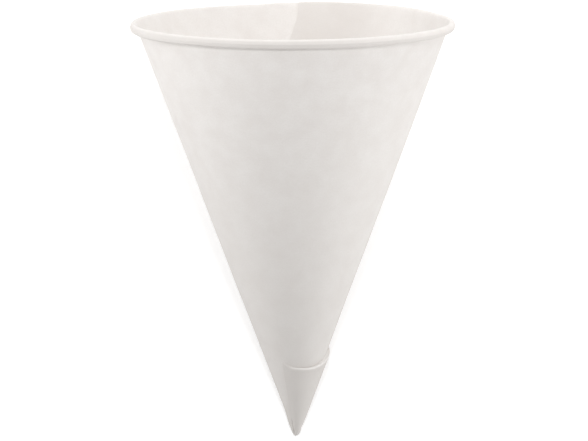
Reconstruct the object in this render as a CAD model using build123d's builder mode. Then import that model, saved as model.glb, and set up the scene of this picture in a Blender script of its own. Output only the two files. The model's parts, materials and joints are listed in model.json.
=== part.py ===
# Rolled-rim cone paper cup, in millimetres and degrees.
# One sheet of paper is wound once round a cone and glued where its ends lap, at the back.
# Its top edge is rolled outward into a bead, and its tail is wound on round the tip.
# The cup lies on its side, on a small flat in its bead and on its tip, with the lap underneath
# and +Z up.
# +Y points from the tip towards the mouth, and the origin is under the middle of the lying cup.

from build123d import *

import os
from math import asin, atan, atan2, ceil, cos, degrees, hypot, radians, sin

# Sizes of the cup
rim_diameter = 76.0
cup_height = 98.2
paper = 0.22

# Rolled rim
bead_height = 2.1
bead_proud = 1.8
curl_radius = 0.45
curl_turn = 180.0
bend_flat = 30.0
rest_flat = 0.2

# Glued lap, whose inner edge is the seam, by angle from the cup's front round by its right
seam_angle = 184.0
lap_width = 25.0

# Tail wound round the tip, by height above the point where the wall's outside would end
tip_end = 0.2
tip_round = 0.6
tip_filled = 3.0
tail_front = 16.8
tail_right = 20.1
tail_back = 28.0
tail_end_angle = -27.0
tail_proud = 0.6
tail_shift = 0.3
tail_gape = 1.2
tail_seat = 0.05

# The wall's outside is a cone, and heights are measured from the point where it would end
rim_radius = rim_diameter / 2
crest = tip_end + cup_height
bead_base = crest - bead_height
slope = (rim_radius - bead_proud) / bead_base
half_angle = atan(slope)
crest_turn = 180 - degrees(half_angle)
paper_across = paper / cos(half_angle)
lap_angle = degrees(lap_width / rim_radius)
lap_growth = 1.5 * paper

# How the cup lies: the surface touches the round of the tip, and the lapped bead's lower round
# is pressed flat on it, rest_flat deep
tip_round_height = tip_end + tip_round
tip_round_offset = tip_round_height * slope + tail_proud - tip_round / cos(half_angle)
curl_round = curl_radius + paper
curl_round_height = bead_base + curl_round
curl_round_offset = rim_radius + lap_growth - curl_round
across = curl_round_offset - tip_round_offset
along = curl_round_height - tip_round_height
round_difference = curl_round - rest_flat - tip_round
lie_angle = atan2(across, along) + asin(round_difference / hypot(across, along))


def crest_round(plies):
    """The radius of the crest's centre line, where it meets the wall and the bead's outer face."""
    thickness = plies * paper
    growth = (plies - 1) * lap_growth
    outer = rim_radius + growth - thickness / 2
    top = crest + growth - thickness / 2
    wall = top * slope - paper_across / 2
    return (outer - wall) / (1 - slope + 1 / cos(half_angle))


crest_round_outside = crest_round(2) + paper
crest_height = crest + lap_growth - crest_round_outside
crest_offset = rim_radius + lap_growth - crest_round_outside
mouth_end = crest_height * cos(lie_angle) + crest_offset * sin(lie_angle) + crest_round_outside
tip_start = tip_round_height * cos(lie_angle) - tip_round_offset * sin(lie_angle) - tip_round

front = Vector(0, -sin(lie_angle), cos(lie_angle))
right = Vector(1, 0, 0)
towards_mouth = Vector(0, cos(lie_angle), sin(lie_angle))
tip_drop = tip_round_height * sin(lie_angle) - tip_round_offset * cos(lie_angle) - tip_round
point = Vector(0, -(mouth_end + tip_start) / 2, -tip_drop)
cup_axis = Axis(point, towards_mouth)
tail_point = point + right * tail_shift
tail_axis = Axis(tail_point, towards_mouth)


def section_plane(start, angle):
    """A plane through the axis at start, with X across the cup at angle and Y towards the mouth."""
    across_cup = front * cos(radians(angle)) + right * sin(radians(angle))
    return Plane(start, x_dir=across_cup, z_dir=across_cup.cross(towards_mouth))


def bend(centre, radius, first, turn):
    """Points round a bend of the paper, from direction first on, turned clockwise in equal flats."""
    flats = ceil(turn / bend_flat)
    return [
        centre + Vector(radius, 0).rotate(Axis.Z, first - turn * flat / flats)
        for flat in range(flats + 1)
    ]


def sheet_section(plane, plies):
    """The section of the wall and its rolled rim, plies sheets thick about one centre line."""
    half = plies * paper / 2
    growth = (plies - 1) * lap_growth
    rounding = crest_round(plies)
    outer = rim_radius + growth - half
    crest_centre = Vector(outer - rounding, crest + growth - half - rounding)
    curl_centre = Vector(outer - curl_radius, bead_base + half + curl_radius)
    foot = Vector(tip_filled / 2 * slope - paper_across / 2, tip_filled / 2)
    sides = []
    for side in (half, -half):
        sides.append(
            [
                foot + Vector(-cos(half_angle), sin(half_angle)) * side,
                *bend(crest_centre, rounding + side, 180 - degrees(half_angle), crest_turn),
                *bend(curl_centre, curl_radius + side, 0, curl_turn),
            ]
        )
    with BuildSketch(plane) as section:
        with BuildLine():
            Polyline(*sides[0], *reversed(sides[1]), close=True)
        make_face()
    return section.sketch.face()


def tip_section(plane, proud, inner_points):
    """The section of paper wound round the tip: its blunt end, its outside, then inner_points."""
    outer_top = (tail_reach * slope + proud, tail_reach)
    with BuildSketch(plane) as section:
        with BuildLine():
            FilletPolyline(
                (0, tip_end), (tip_end * slope + proud, tip_end), outer_top, radius=tip_round
            )
            Polyline(outer_top, *inner_points, (0, tip_end))
        make_face()
    return section.sketch.face()


# The tail's cut edge is straight in the flat sheet, so it climbs round the cone
front_reach = tail_front * slope + tail_proud
back_reach = tail_back * slope + tail_proud
right_reach = tail_right * slope + tail_proud + tail_shift
fall = (tail_back - tail_front) / (front_reach + back_reach)
cut_height = tail_front + fall * front_reach
lean = (cut_height - tail_right) / right_reach
tail_cut = Plane(
    point + towards_mouth * cut_height,
    z_dir=towards_mouth + front * fall + right * lean,
)
tail_reach = 1.3 * tail_back
core_proud = tail_proud - paper

# The tail's last turn, whose cut edge stands off the wall
with BuildPart() as tail:
    inside = core_proud - tail_seat
    tail_foot = tip_filled / 2
    tail_section = tip_section(
        section_plane(tail_point, tail_end_angle),
        tail_proud,
        [
            (tail_reach * slope + inside, tail_reach),
            (tail_foot * slope + inside, tail_foot),
            (0, tail_foot),
        ],
    )
    revolve(tail_section, axis=tail_axis, revolution_arc=seam_angle - tail_end_angle)
    split(bisect_by=tail_cut, keep=Keep.BOTTOM)

# The tail's inner turns, pressed onto the wall
with BuildPart() as core:
    core_section = tip_section(section_plane(tail_point, 0), core_proud, [(0, tail_reach)])
    revolve(core_section, axis=tail_axis)
    split(bisect_by=tail_cut.offset(-tail_gape), keep=Keep.BOTTOM)

# The whole cup: the wound tip, hollowed down to where the paper fills it, then the sheet
with BuildPart() as cup:
    add(core.part)
    add(tail.part)
    with BuildSketch(section_plane(point, 0)) as hollow:
        with BuildLine():
            Polyline(
                (0, tip_filled),
                (tip_filled * slope - paper_across, tip_filled),
                (tail_reach * slope - paper_across, tail_reach),
                (0, tail_reach),
                close=True,
            )
        make_face()
    revolve(axis=cup_axis, mode=Mode.SUBTRACT)
    single = sheet_section(section_plane(point, seam_angle), 1)
    revolve(single, axis=cup_axis, revolution_arc=360 - lap_angle)
    double = sheet_section(section_plane(point, seam_angle - lap_angle), 2)
    revolve(double, axis=cup_axis, revolution_arc=lap_angle)
    Box(
        rim_diameter,
        rim_diameter,
        bead_height,
        align=(Align.CENTER, Align.MIN, Align.MAX),
        mode=Mode.SUBTRACT,
    )

cup.part.label = "cup"
os.makedirs("parts", exist_ok=True)
export_step(cup.part, "parts/cup.step")
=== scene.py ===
import json
from math import atan, cos, pi, radians, sin, sqrt

import bmesh
import bpy
import numpy as np
from mathutils import Matrix, Vector, noise


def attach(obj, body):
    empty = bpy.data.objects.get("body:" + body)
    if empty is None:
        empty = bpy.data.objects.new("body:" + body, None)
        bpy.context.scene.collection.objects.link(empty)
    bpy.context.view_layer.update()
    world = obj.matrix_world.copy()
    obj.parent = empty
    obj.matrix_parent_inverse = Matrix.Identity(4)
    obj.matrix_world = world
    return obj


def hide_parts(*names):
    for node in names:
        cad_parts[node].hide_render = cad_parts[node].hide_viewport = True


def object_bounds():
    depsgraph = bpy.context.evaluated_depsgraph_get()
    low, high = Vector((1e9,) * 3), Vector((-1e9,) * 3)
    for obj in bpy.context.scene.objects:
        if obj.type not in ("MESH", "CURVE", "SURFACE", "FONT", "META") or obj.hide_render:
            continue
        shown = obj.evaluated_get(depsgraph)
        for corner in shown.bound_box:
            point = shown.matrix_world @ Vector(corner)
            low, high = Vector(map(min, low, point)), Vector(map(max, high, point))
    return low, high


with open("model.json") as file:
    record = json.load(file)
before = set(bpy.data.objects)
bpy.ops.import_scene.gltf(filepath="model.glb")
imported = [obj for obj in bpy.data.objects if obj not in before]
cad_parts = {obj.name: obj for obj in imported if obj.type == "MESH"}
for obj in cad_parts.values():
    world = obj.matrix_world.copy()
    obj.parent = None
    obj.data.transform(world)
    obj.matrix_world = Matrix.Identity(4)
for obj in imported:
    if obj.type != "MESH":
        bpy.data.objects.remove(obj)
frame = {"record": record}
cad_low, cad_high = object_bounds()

# Sizes of the cup in metres, as the solid has them
RIM_RADIUS = 0.038
BEAD_PROUD = 0.0018
BEAD_HEIGHT = 0.0021
BEAD_BASE = 0.0963
PAPER = 0.00022
TAIL_PROUD = 0.0006
TAIL_SHIFT = 0.0003
TAIL_BACK = 0.0280
TIP_END = 0.0002
TIP_FILLED = 0.0030

# Sizes where the scene differs from the solid, or has more than it
CURL_RADIUS = 0.00060
CURL_TURN = 215
BEAD_BELLY = 0.00010
RIM_GROWTH = 0.00045
GROWTH_OUTWARD = 0.35
TAIL_FRONT = 0.0175
TAIL_RIGHT = 0.0200
TAIL_CORNER = 0.0008
TAIL_FLARE = 0.00010
EDGE_DIP = 0.00022
EDGE_WIDTH = 0.0006
TIP_SHOULDER = 0.0013
TIP_SQUARENESS = 4
CORE_START = TIP_END + 0.00004
CORE_SUNK = 0.00005
CORE_BEVEL = 0.00025
CORE_GAPE = 0.00022
CORE_GAPE_LOSS = 0.00007
CORE_LEAST_PROUD = 0.0001
TIP_PRESSED = 0.00012
WALL_START = 0.0011

# The winding, by angle in degrees from the cup's front round by its right
FULL_TURN = 360
SEAM = 184.0
SEAM_LEAN = -6.0
LAP = 37.7
TAIL_END = -25.0

# Unevenness of the paper, by how far it moves the surface
BROAD_DENTS = 0.00016
SMALL_DENTS = 0.00006
FLUTES = 0.00005
FLUTE_STRETCH = 0.25
DENTS_END = 0.097
RIM_WAVER = 0.00006
RIM_SWAY = 0.00008
WAVER_OUTWARD = 0.6
BEAD_WAVER = 0.00010
CURL_UNEVENNESS = 0.12
TAIL_LIFT = 0.00008
EDGE_WAVE = 0.00010
TAIL_CRUSH = 0.22
CORE_CRUSH = 0.12

# Rows of the meshes, from the tip up
WALL_ROWS = 74
CREST_ROWS = 12
FACE_ROWS = 5
CURL_ROWS = 12
TAIL_ROWS = 44
CORE_ROWS = 34
INNER_ROWS = 12
# The core's last rows take a painted highlight, as at a cut edge
HIGHLIGHT_ROWS = 4

# Steps round the cup between the meshes' columns, in degrees
SHEET_STEP = 1.5
CLIMB_STEP = 0.5
CLIMB_START = 346
CLIMB_END = 362
TAIL_STEP = 2.0
CORE_STEP = 4.0
CORE_FIRST = -66

# How the mesh is finished: edges sharper than the angle stay sharp, and close points are joined
SHARP_ANGLE = radians(38)
WELD_DISTANCE = 1e-7

CREST = BEAD_BASE + BEAD_HEIGHT
SLOPE = (RIM_RADIUS - BEAD_PROUD) / BEAD_BASE
HALF_ANGLE = atan(SLOPE)
PAPER_ACROSS = PAPER / cos(HALF_ANGLE)

# The mount under the rim gives the cup's axis, and where the point of the wall's cone would be
rim_seat = next(m for m in frame["record"]["mounts"] if m["name"] == "rim_seat")
AXIS = -Vector(rim_seat["axis"])
POINT = Vector(rim_seat["pos_m"]) - AXIS * BEAD_BASE
RIGHT = Vector((1, 0, 0))
FRONT = RIGHT.cross(AXIS)


def smooth(low, high, value):
    """0 at low, 1 at high and an even ease between them."""
    share = min(max((value - low) / (high - low), 0.0), 1.0)
    return share * share * (3 - 2 * share)


def place(angle, height, reach):
    """The point at that angle round the cup, height along its axis and reach from it."""
    turn = radians(angle)
    across = FRONT * (reach * cos(turn)) + RIGHT * (reach * sin(turn))
    return POINT + AXIS * height + across


SMALLEST_REACH = 0.002
SEED_STEPS = (7.3, 3.1, 5.7)


def ripple(angle, height, size, seed):
    """Even noise between -1 and 1 over the cup's surface, with features about size across."""
    reach = max(height * SLOPE, SMALLEST_REACH)
    turn = radians(angle)
    spot = Vector((reach * cos(turn), reach * sin(turn), height)) / size
    return noise.noise(spot + Vector([seed * step for step in SEED_STEPS]))


def dents(angle, height):
    """How far the shallow dents move the paper out. They fade out towards the wound tip."""
    broad = ripple(angle, height, size=0.030, seed=1) * BROAD_DENTS
    small = ripple(angle, height, size=0.011, seed=2) * SMALL_DENTS
    flutes = ripple(angle, height * FLUTE_STRETCH, size=0.009, seed=3) * FLUTES
    above_the_tip = smooth(0.012, 0.040, height)
    return (broad + small + flutes) * above_the_tip


def crushed(angle, height, amount, seed):
    """The share of its reach that the crushed end of the tip keeps at that spot, about 1."""
    near_the_end = 1 - smooth(0.001, 0.004, height)
    return 1 + amount * ripple(angle, height, size=0.0012, seed=seed) * near_the_end


# The slanted plane that cuts the tail: its height on the axis, and its fall to front and right
front_reach = TAIL_FRONT * SLOPE + TAIL_PROUD
back_reach = TAIL_BACK * SLOPE + TAIL_PROUD
right_reach = TAIL_RIGHT * SLOPE + TAIL_PROUD + TAIL_SHIFT
CUT_FALL = (TAIL_BACK - TAIL_FRONT) / (front_reach + back_reach)
CUT_HEIGHT = TAIL_FRONT + CUT_FALL * front_reach
CUT_LEAN = (CUT_HEIGHT - TAIL_RIGHT) / right_reach
CORNER_WIDTH = 22
WAVES_ROUND = 5
WAVE_START = 0.6


def cut_at(angle):
    """Height of the tail's cut edge at that angle, with its raised corner and slight waves."""
    turn = radians(angle)
    tilt = CUT_FALL * cos(turn) + CUT_LEAN * sin(turn)
    height = (CUT_HEIGHT - tilt * TAIL_PROUD) / (1 + tilt * SLOPE)
    corner = TAIL_CORNER * (1 - smooth(TAIL_END, TAIL_END + CORNER_WIDTH, angle))
    wave = EDGE_WAVE * sin(turn * WAVES_ROUND + WAVE_START)
    return height + corner + wave


def doubled(wound):
    """How much of its growth over the lap the rim has, 0 to 1, by the angle wound."""
    past_the_lap = smooth(38, 78, wound)
    onto_the_lap = smooth(350, FULL_TURN, wound)
    return max(1 - past_the_lap, onto_the_lap)


def on_bend(centre_reach, centre_height, radius, turn):
    """A point of the section on a bend, and the way from it to the bend's centre."""
    reach = centre_reach + radius * cos(turn)
    height = centre_height + radius * sin(turn)
    return reach, height, -cos(turn), -sin(turn)


def section(wound, angle):
    """Points of the paper's middle, from near the tip up the wall and round the bead.

    Each has its reach and height, and then the way to the side that the bead rolls to, which is
    the wall's outside.
    """
    growth = RIM_GROWTH * doubled(wound)
    waver = RIM_WAVER * ripple(angle, CREST, size=0.012, seed=5)
    waver += RIM_SWAY * ripple(angle, CREST, size=0.035, seed=6)
    outer = RIM_RADIUS - PAPER / 2 + growth * GROWTH_OUTWARD + WAVER_OUTWARD * waver
    top = CREST - PAPER / 2 + growth + waver
    curl = CURL_RADIUS * (1 + CURL_UNEVENNESS * ripple(angle, CREST, size=0.02, seed=7))
    low = BEAD_BASE + PAPER / 2 + curl - BEAD_WAVER * ripple(angle, CREST, size=0.015, seed=8)
    wall_at_top = top * SLOPE - PAPER_ACROSS / 2
    rounding = (outer - wall_at_top) / (1 - SLOPE + 1 / cos(HALF_ANGLE))
    across = outer - rounding
    along = top - rounding
    wall_end = along + rounding * sin(HALF_ANGLE)
    points = []
    for row in range(WALL_ROWS):
        height = WALL_START + (wall_end - WALL_START) * row / WALL_ROWS
        reach = height * SLOPE - PAPER_ACROSS / 2
        points.append((reach, height, cos(HALF_ANGLE), -sin(HALF_ANGLE)))
    for row in range(CREST_ROWS + 1):
        turn = (pi - HALF_ANGLE) * (1 - row / CREST_ROWS)
        points.append(on_bend(across, along, rounding, turn))
    for row in range(1, FACE_ROWS):
        share = row / FACE_ROWS
        belly = BEAD_BELLY * sin(pi * share)
        points.append((outer + belly, along + (low - along) * share, -1, 0))
    for row in range(CURL_ROWS + 1):
        turn = -radians(CURL_TURN) * row / CURL_ROWS
        points.append(on_bend(outer - curl, low, curl, turn))
    return points


def winding():
    """Angles wound from the inner edge, closer together where the sheet climbs over it."""
    wound = list(np.arange(0, CLIMB_START, SHEET_STEP))
    wound += list(np.arange(CLIMB_START, CLIMB_END, CLIMB_STEP))
    wound += list(np.arange(CLIMB_END, FULL_TURN + LAP, SHEET_STEP))
    return [float(angle) for angle in wound] + [FULL_TURN + LAP]


def seam_turn(height):
    """How far in degrees the seam in the mouth leans from its line, near the rim."""
    return SEAM_LEAN * smooth(0.084, 0.0975, height)


def sheet():
    """The middle of the wound sheet with its rolled rim, and the ply count at each point for its
    painted shade.
    """
    columns = []
    ply_shade_and_highlight = []
    for wound in winding():
        angle = SEAM - wound
        on_top = smooth(352, FULL_TURN, wound)
        tucked = 1 - smooth(0, 4, wound)
        layer = PAPER * (on_top + 0.5 * tucked)
        near_the_seam = max(0.0, 1 - wound / 24)
        under_the_lap = 1 - smooth(24, 46, wound)
        column = []
        for row, (reach, height, side_reach, side_height) in enumerate(section(wound, angle)):
            spot = angle + seam_turn(height) * near_the_seam
            bump = dents(spot, min(height, DENTS_END))
            over_the_lap = smooth(0, 0.5, wound - FULL_TURN + seam_turn(height))
            in_the_tip = 1 - smooth(0.005, 0.011, height)
            in_the_bead = smooth(WALL_ROWS + 5, WALL_ROWS + CREST_ROWS, row)
            # Painted shade: under and over the lap, in the tip and in the bead the paper is coloured
            # darker by its ply count
            ply_shade_and_highlight.append(max(under_the_lap, over_the_lap, in_the_tip, in_the_bead))
            column.append(place(spot, height + side_height * layer, reach + side_reach * layer + bump))
        columns.append(column)
    return columns, ply_shade_and_highlight


def tip_reach(height, reach):
    """Reach of the wound tip at that height, drawn in to its blunt end."""
    if height >= TIP_SHOULDER:
        return reach
    share = (TIP_SHOULDER - height) / (TIP_SHOULDER - TIP_END)
    return reach * sqrt(max(0.0, 1 - share ** TIP_SQUARENESS))


def tail_proud(angle, height):
    """How far the middle of the tail's outer turn stands off the wall's outside."""
    off_the_lap = 1 - smooth(86, 118, angle)
    open_share = 0.62 + 0.38 * smooth(TAIL_END, 15, angle)
    full = TAIL_PROUD * open_share + TAIL_SHIFT * sin(radians(angle))
    pressed = TIP_PRESSED * (1 - smooth(0.001, 0.008, height))
    return PAPER + (full - pressed - PAPER) * off_the_lap - PAPER_ACROSS / 2


def tail():
    """The middle of the tail, which comes off the lap and winds round the tip, and its painted shade
    and the painted highlight along its cut edge.
    """
    columns = []
    ply_shade_and_highlight = []
    for angle in np.arange(SEAM, TAIL_END, -TAIL_STEP):
        top = cut_at(angle)
        clear_of_the_end = smooth(-20, 25, angle)
        off_the_lap = 1 - smooth(70, 100, angle)
        dip_share = 1 - 0.6 * smooth(50, 80, angle)
        highlight_share = smooth(TAIL_END - 8, TAIL_END + 30, angle)
        column = []
        for row in range(TAIL_ROWS + 1):
            share = 1 - (1 - (row / TAIL_ROWS) ** 1.3) ** 1.6
            height = TIP_END + (top - TIP_END) * share
            below = top - height
            flare = TAIL_FLARE * smooth(0.80, 1.0, share) * clear_of_the_end * off_the_lap
            flare -= EDGE_DIP * (1 - smooth(0, EDGE_WIDTH, below)) * dip_share
            lift = TAIL_LIFT * ripple(angle, height, size=0.005, seed=11) * smooth(0.05, 0.4, share)
            reach = tip_reach(height, height * SLOPE + tail_proud(angle, height) + flare + lift)
            column.append(place(angle, height, reach * crushed(angle, height, TAIL_CRUSH, seed=12)))
            # Painted highlight along the tail's cut edge
            edge_highlight = (1 - smooth(0.0002, EDGE_WIDTH, below)) * highlight_share
            ply_shade_and_highlight.append(1 - 2 * edge_highlight)
        columns.append(column)
    return columns, ply_shade_and_highlight


def core():
    """The tip's inner turns and the paper that fills its point, as a closed skin, and its painted
    shade and painted highlight.
    """
    columns = []
    ply_shade_and_highlight = []
    for angle in np.arange(CORE_FIRST, CORE_FIRST + FULL_TURN, CORE_STEP):
        after_the_end = smooth(TAIL_END - 3, TAIL_END + 5, angle)
        covered = after_the_end * (1 - smooth(SEAM - 10, SEAM + 30, angle))
        on_tail = min(max(angle, TAIL_END), SEAM)
        gape = CORE_GAPE - CORE_GAPE_LOSS * smooth(20, 60, angle)
        top = min(cut_at(on_tail), TAIL_BACK) - gape
        column = [place(angle, CORE_START, 0)]
        for row in range(CORE_ROWS + 1):
            share = (row / CORE_ROWS) ** 1.5
            height = CORE_START + (top - TIP_END) * share
            low_down = 1 - smooth(0.003, 0.009, height)
            held = max(covered, low_down)
            proud = max(tail_proud(on_tail, height), CORE_LEAST_PROUD) - PAPER * 0.9
            if angle > SEAM - 40 or angle < TAIL_END:
                proud = max(proud, (TAIL_PROUD - PAPER * 1.4) * low_down)
            reach = tip_reach(height, height * SLOPE - CORE_SUNK + (proud + CORE_SUNK) * held)
            column.append(place(angle, height, reach * crushed(angle, height, CORE_CRUSH, seed=13)))
        column.append(place(angle, top + CORE_BEVEL, top * SLOPE - CORE_SUNK))
        # Painted shade over the core, and a painted highlight on its last rows
        ply_shade_and_highlight += [1.0] * (len(column) - HIGHLIGHT_ROWS) + [-1.0] * HIGHLIGHT_ROWS
        for row in range(INNER_ROWS + 1):
            height = top + (TIP_FILLED - top) * row / INNER_ROWS
            column.append(place(angle, height, height * SLOPE - PAPER / 2 + dents(angle, height)))
        column.append(place(angle, TIP_FILLED, 0))
        ply_shade_and_highlight += [1.0] * (INNER_ROWS + 2)
        columns.append(column)
    return columns, ply_shade_and_highlight


def mesh_object(name, columns, ply_shade_and_highlight, closed=False):
    """A piece of columns of points, joined into quads in order.

    Each point has its value for the painted tone: 0 for a single ply, 1 for more, which takes painted
    shade, and -1 at a cut edge, which takes a painted highlight.
    """
    tall = len(columns[0])
    pairs = len(columns) if closed else len(columns) - 1
    faces = []
    for column in range(pairs):
        here = column * tall
        there = (column + 1) % len(columns) * tall
        for row in range(tall - 1):
            faces.append((here + row, there + row, there + row + 1, here + row + 1))
    mesh = bpy.data.meshes.new(name)
    mesh.from_pydata([tuple(point) for column in columns for point in column], [], faces)
    mesh.update()
    mesh.attributes.new("ply_shade_and_highlight", "FLOAT", "POINT").data.foreach_set("value", ply_shade_and_highlight)
    piece = bpy.data.objects.new(name, mesh)
    bpy.context.scene.collection.objects.link(piece)
    return piece


def thicken(piece):
    """Gives a piece made of the paper's middle the paper's thickness."""
    solidify = piece.modifiers.new("thickness", "SOLIDIFY")
    solidify.thickness = PAPER
    solidify.offset = 0.0
    solidify.use_even_offset = True
    graph = bpy.context.evaluated_depsgraph_get()
    mesh = bpy.data.meshes.new_from_object(piece.evaluated_get(graph))
    piece.modifiers.clear()
    piece.data = mesh


def weld(piece):
    """Joins the points of a piece that lie on one spot."""
    welded = bmesh.new()
    welded.from_mesh(piece.data)
    bmesh.ops.remove_doubles(welded, verts=welded.verts, dist=WELD_DISTANCE)
    welded.to_mesh(piece.data)
    welded.free()


def joined(name, parts):
    """One object of the parts' meshes."""
    bpy.ops.object.select_all(action="DESELECT")
    for part in parts:
        part.select_set(True)
    bpy.context.view_layer.objects.active = parts[0]
    bpy.ops.object.join()
    parts[0].name = name
    parts[0].data.name = name
    return parts[0]


# The cup, as one piece of its sheet, its tail and the tip's inner turns
sheet_piece = mesh_object("cup_sheet", *sheet())
thicken(sheet_piece)
tail_piece = mesh_object("cup_tail", *tail())
thicken(tail_piece)
core_piece = mesh_object("cup_core", *core(), closed=True)
weld(core_piece)
cup = joined("paper_cup", [sheet_piece, tail_piece, core_piece])
cup.data.shade_smooth()
cup.data.set_sharp_from_angle(angle=SHARP_ANGLE)

# Colours, as levels of 0 to 255
CLOUD_DARK = (236, 231.5, 228)
CLOUD_LIGHT = (241, 237.5, 234.5)
FIBRE_COLOUR = (221, 216, 210)
# Painted shade where the paper lies in more than one ply
PLY_SHADE_COLOUR = (212, 206, 201)
# Painted shade, darker towards the tip
TIP_SHADE_COLOUR = (201, 197, 193)
# Painted highlight on the cut edges
CUT_EDGE_HIGHLIGHT = (246, 244, 241)
FLOOR_COLOUR = (240, 240, 240)

# Heights between which the paper takes on the painted shade towards the tip
TIP_SHADE_START = 0.090
TIP_SHADE_FULL = 0.004

# Sockets of a colour mix
MIX_SHARE = 0
MIX_FIRST = 6
MIX_SECOND = 7
MIX_RESULT = 2


def emptied_tree(material):
    """The material's node tree, with no nodes in it."""
    material.use_nodes = True
    tree = material.node_tree
    tree.nodes.clear()
    return tree


def linear(levels):
    """A colour of levels above 10 as linear values with alpha."""
    return [((level / 255 + 0.055) / 1.055) ** 2.4 for level in levels] + [1]


def noise_node(tree, coordinates, size, detail, roughness):
    """Noise with features about size metres across."""
    node = tree.nodes.new("ShaderNodeTexNoise")
    node.inputs["Scale"].default_value = 1 / size
    node.inputs["Detail"].default_value = detail
    node.inputs["Roughness"].default_value = roughness
    tree.links.new(coordinates, node.inputs["Vector"])
    return node.outputs["Fac"]


def ranged(tree, value, came, goes):
    """The value mapped from the range it came in to the range it goes to."""
    node = tree.nodes.new("ShaderNodeMapRange")
    node.inputs["From Min"].default_value, node.inputs["From Max"].default_value = came
    node.inputs["To Min"].default_value, node.inputs["To Max"].default_value = goes
    tree.links.new(value, node.inputs["Value"])
    return node.outputs["Result"]


def mixed(tree, share, first, second):
    """The colour that is first at share 0 and second at share 1."""
    node = tree.nodes.new("ShaderNodeMix")
    node.data_type = "RGBA"
    tree.links.new(share, node.inputs[MIX_SHARE])
    for socket, colour in ((node.inputs[MIX_FIRST], first), (node.inputs[MIX_SECOND], second)):
        if hasattr(colour, "links"):
            tree.links.new(colour, socket)
        else:
            socket.default_value = colour
    return node.outputs[MIX_RESULT]


def bump_node(tree, height, strength, distance):
    """A bump of the surface by height."""
    node = tree.nodes.new("ShaderNodeBump")
    node.inputs["Strength"].default_value = strength
    node.inputs["Distance"].default_value = distance
    tree.links.new(height, node.inputs["Height"])
    return node


def paper_material():
    """Matt white paper, with painted shade where it lies in more than one ply and towards the tip, and
    a painted highlight at a cut edge.
    """
    material = bpy.data.materials.new("paper")
    tree = emptied_tree(material)
    out = tree.nodes.new("ShaderNodeOutputMaterial")
    shader = tree.nodes.new("ShaderNodeBsdfPrincipled")
    where = tree.nodes.new("ShaderNodeTexCoord").outputs["Object"]
    cloud = noise_node(tree, where, size=0.0045, detail=3, roughness=0.55)
    fibre = noise_node(tree, where, size=0.00035, detail=4, roughness=0.65)
    speck = noise_node(tree, where, size=0.0011, detail=2, roughness=0.5)
    attribute = tree.nodes.new("ShaderNodeAttribute")
    attribute.attribute_name = "ply_shade_and_highlight"
    ply_shade_and_highlight = attribute.outputs["Fac"]
    axial = tree.nodes.new("ShaderNodeVectorMath")
    axial.operation = "DOT_PRODUCT"
    tree.links.new(where, axial.inputs[0])
    axial.inputs[1].default_value = AXIS
    start = POINT.dot(AXIS)

    cloudy = ranged(tree, cloud, (0.32, 0.68), (0, 1))
    base = mixed(tree, cloudy, linear(CLOUD_DARK), linear(CLOUD_LIGHT))
    fine = ranged(tree, fibre, (0.35, 0.75), (0, 0.30))
    base = mixed(tree, fine, base, linear(FIBRE_COLOUR))
    # Painted shade where the paper lies in more than one ply
    ply_shade = ranged(tree, ply_shade_and_highlight, (0, 1), (0, 0.42))
    base = mixed(tree, ply_shade, base, linear(PLY_SHADE_COLOUR))
    # Painted shade, growing darker from near the rim towards the tip
    tip_shade_heights = (start + TIP_SHADE_START, start + TIP_SHADE_FULL)
    tip_shade = ranged(tree, axial.outputs["Value"], tip_shade_heights, (0, 0.60))
    base = mixed(tree, tip_shade, base, linear(TIP_SHADE_COLOUR))
    # Painted highlight on the cut edges
    edge_highlight = ranged(tree, ply_shade_and_highlight, (0, -1), (0, 0.5))
    base = mixed(tree, edge_highlight, base, linear(CUT_EDGE_HIGHLIGHT))
    tree.links.new(base, shader.inputs["Base Color"])

    rough = ranged(tree, speck, (0.3, 0.7), (0.72, 0.90))
    tree.links.new(rough, shader.inputs["Roughness"])
    shader.inputs["Specular IOR Level"].default_value = 0.35
    coarse = bump_node(tree, cloud, strength=0.35, distance=0.00012)
    close = bump_node(tree, fibre, strength=0.45, distance=0.000025)
    tree.links.new(coarse.outputs["Normal"], close.inputs["Normal"])
    tree.links.new(close.outputs["Normal"], shader.inputs["Normal"])
    tree.links.new(shader.outputs["BSDF"], out.inputs["Surface"])
    return material


cup.data.materials.clear()
cup.data.materials.append(paper_material())
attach(cup, "root")
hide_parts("cup")

# The floor, which glows to the camera alone, so that it is white there and pale to the light
FLOOR_SIZE = 3.0
FLOOR_DROP = 0.0001
FLOOR_GLOW = 0.36


def floor_material():
    """A pale matt surface with a glow that only the camera sees."""
    material = bpy.data.materials.new("floor")
    tree = emptied_tree(material)
    out = tree.nodes.new("ShaderNodeOutputMaterial")
    diffuse = tree.nodes.new("ShaderNodeBsdfDiffuse")
    diffuse.inputs["Color"].default_value = linear(FLOOR_COLOUR)
    glow = tree.nodes.new("ShaderNodeEmission")
    glow.inputs["Strength"].default_value = FLOOR_GLOW
    seen = tree.nodes.new("ShaderNodeLightPath").outputs["Is Camera Ray"]
    none = tree.nodes.new("ShaderNodeEmission")
    none.inputs["Strength"].default_value = 0.0
    pick = tree.nodes.new("ShaderNodeMixShader")
    tree.links.new(seen, pick.inputs[0])
    tree.links.new(none.outputs[0], pick.inputs[1])
    tree.links.new(glow.outputs[0], pick.inputs[2])
    both = tree.nodes.new("ShaderNodeAddShader")
    tree.links.new(diffuse.outputs[0], both.inputs[0])
    tree.links.new(pick.outputs[0], both.inputs[1])
    tree.links.new(both.outputs[0], out.inputs["Surface"])
    return material


bpy.ops.mesh.primitive_plane_add(size=FLOOR_SIZE, location=(0, 0, cad_low[2] - FLOOR_DROP))
floor = bpy.context.active_object
floor.name = "floor"
floor.data.materials.append(floor_material())

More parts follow.
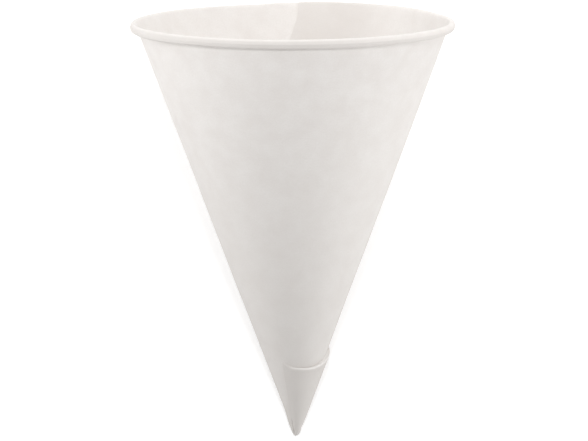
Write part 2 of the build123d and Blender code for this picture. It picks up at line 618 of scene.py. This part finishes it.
# The world's level, and the lamps' power in watts
WORLD_LEVEL = 0.55
LEFT_POWER = 0.36
TIP_POWER = 0.20
BACK_POWER = 0.44
TOP_POWER = 0.325
world = bpy.data.worlds.new("studio")
bpy.context.scene.world = world
world.use_nodes = True
background = world.node_tree.nodes["Background"]
background.inputs["Color"].default_value = (1, 1, 1, 1)
background.inputs["Strength"].default_value = WORLD_LEVEL


def softbox(name, spot, aim, size, power):
    """A lamp of that size at spot, turned to aim, that the camera doesn't see."""
    data = bpy.data.lights.new(name, "AREA")
    data.shape = "RECTANGLE"
    data.size, data.size_y = size
    data.energy = power
    lamp = bpy.data.objects.new(name, data)
    lamp.location = spot
    way = Vector(aim) - Vector(spot)
    lamp.rotation_euler = way.to_track_quat("-Z", "Y").to_euler()
    lamp.visible_camera = False
    bpy.context.scene.collection.objects.link(lamp)


softbox("left", (-0.30, 0.04, 0.12), aim=(0, 0.03, 0.03), size=(0.16, 0.20), power=LEFT_POWER)
softbox("by_the_tip", (0.24, -0.08, 0.06), aim=(0, -0.04, 0.01), size=(0.12, 0.12), power=TIP_POWER)
softbox("back", (0.12, 0.29, 0.20), aim=(0, 0.05, 0.03), size=(0.16, 0.12), power=BACK_POWER)
softbox("top", (0, 0.02, 0.42), aim=(0, 0.03, 0.03), size=(0.05, 0.05), power=TOP_POWER)

# The camera, set by the cup's outline in the photograph
IMAGE_WIDTH = 588
FOCAL_PIXELS = 6418.9
SENSOR_WIDTH = 36
CLIP_END = 20
CAMERA_ELEVATION = radians(77.082)
CAMERA_DISTANCE = 1.5
CAMERA_ROLL = radians(-0.294)
AIM = Vector((0, -0.006274, 0.025))
camera_data = bpy.data.cameras.new("camera")
camera_data.sensor_width = SENSOR_WIDTH
camera_data.lens = FOCAL_PIXELS / IMAGE_WIDTH * SENSOR_WIDTH
camera_data.clip_end = CLIP_END
camera = bpy.data.objects.new("camera", camera_data)
bpy.context.scene.collection.objects.link(camera)
to_camera = Vector((0, -cos(CAMERA_ELEVATION), sin(CAMERA_ELEVATION)))
up = Vector((0, sin(CAMERA_ELEVATION), cos(CAMERA_ELEVATION)))
right_way = RIGHT * cos(CAMERA_ROLL) + up * sin(CAMERA_ROLL)
up_way = up * cos(CAMERA_ROLL) - RIGHT * sin(CAMERA_ROLL)
turned = Matrix((right_way, up_way, to_camera)).transposed()
camera.matrix_world = Matrix.Translation(AIM + to_camera * CAMERA_DISTANCE) @ turned.to_4x4()
bpy.context.scene.camera = camera

bpy.context.scene.view_settings.view_transform = "Standard"
